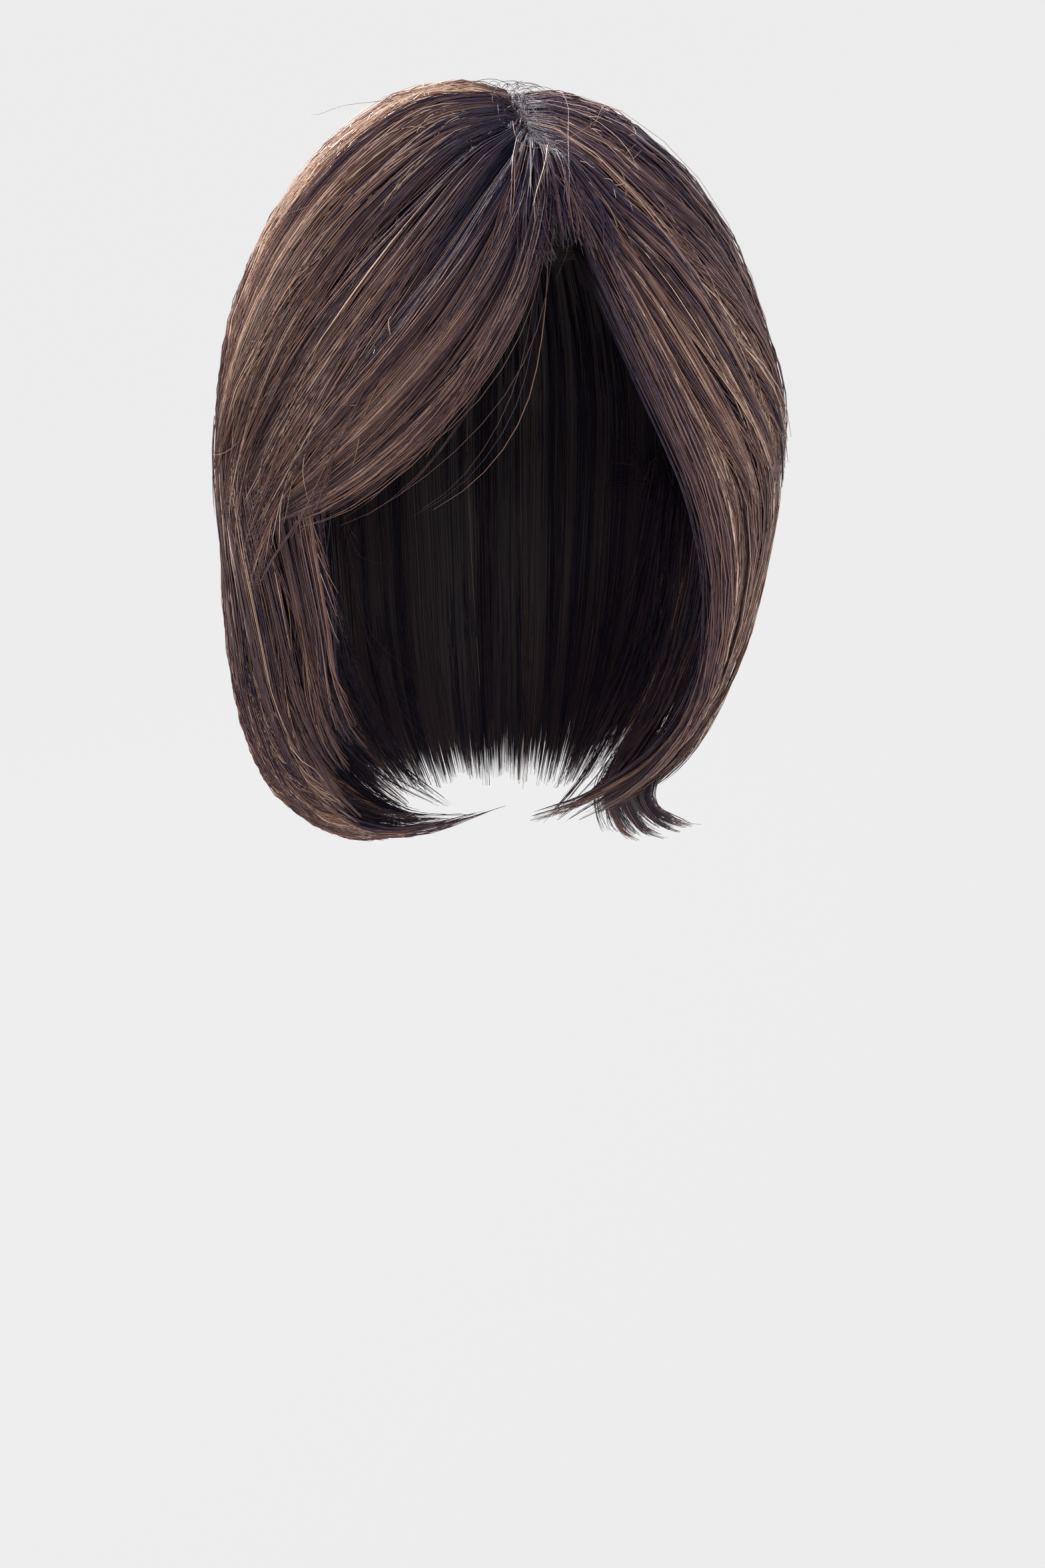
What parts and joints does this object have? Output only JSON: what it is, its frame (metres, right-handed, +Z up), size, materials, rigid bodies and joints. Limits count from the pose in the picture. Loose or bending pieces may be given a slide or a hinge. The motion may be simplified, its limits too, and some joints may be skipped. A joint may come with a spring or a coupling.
{
  "type": "hair topper",
  "caption": "Bob-length brown hair topper with a side parting, a swept fringe and curled-in ends, on a domed base with comb clips that grip the wearer's own hair.",
  "frame": {"origin": "the crown of the head, where it meets the inside of the base", "axes": "+Z up, the face side is -Y, +X to the right as seen from the front"},
  "size_m": [0.1973, 0.2206, 0.2733],
  "materials": {
    "hair": "glossy brown hair with caramel strands",
    "net": "fine dark net",
    "clip": "dark satin"
  },
  "bodies": {
    "root": {"scalp_base": "net", "side_left": "hair", "side_right": "hair", "back_hair": "hair", "face_lock_left": "hair", "fringe": "hair", "flick_right": "hair", "clip_front": "clip", "clip_back": "clip", "clip_left": "clip", "clip_right": "clip"}
  },
  "joints": []
}
